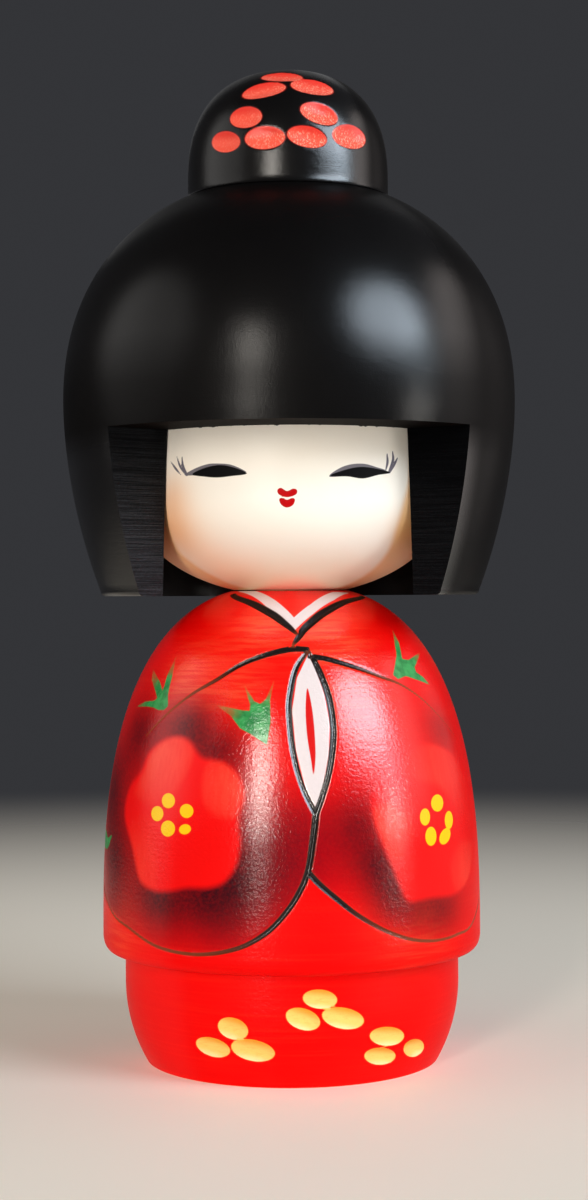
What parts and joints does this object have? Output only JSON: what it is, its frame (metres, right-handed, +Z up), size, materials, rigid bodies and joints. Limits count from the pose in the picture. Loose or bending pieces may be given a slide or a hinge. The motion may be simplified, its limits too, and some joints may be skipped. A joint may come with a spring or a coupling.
{
  "type": "wooden japanese doll",
  "caption": "Turned wooden doll of the kokeshi kind: a domed lacquered body and a head with bobbed hair and a bun, which turns on a neck dowel.",
  "frame": {"origin": "centre of the foot, on the table under the doll's axis", "axes": "+Z up along the turning axis; the face looks along -Y"},
  "size_m": [0.0688, 0.0688, 0.15],
  "materials": {
    "red_lacquer": "red stain under satin clear lacquer",
    "black_lacquer": "black paint under satin clear lacquer",
    "ivory_paint": "pale paint under satin clear lacquer",
    "bare_wood": "bare turned wood"
  },
  "bodies": {
    "body": {"kimono_body": "red_lacquer"},
    "head": {"face_block": "ivory_paint", "hair_cap": "black_lacquer", "hair_bun": "black_lacquer", "neck_dowel": "bare_wood", "crown_dowel": "bare_wood", "bun_dowel": "bare_wood"}
  },
  "joints": [
    {"name": "head_turn", "type": "hinge", "parent": "body", "child": "head", "pos_m": [0, 0, 0.071], "axis": [0, 0, 1], "continuous": true}
  ]
}
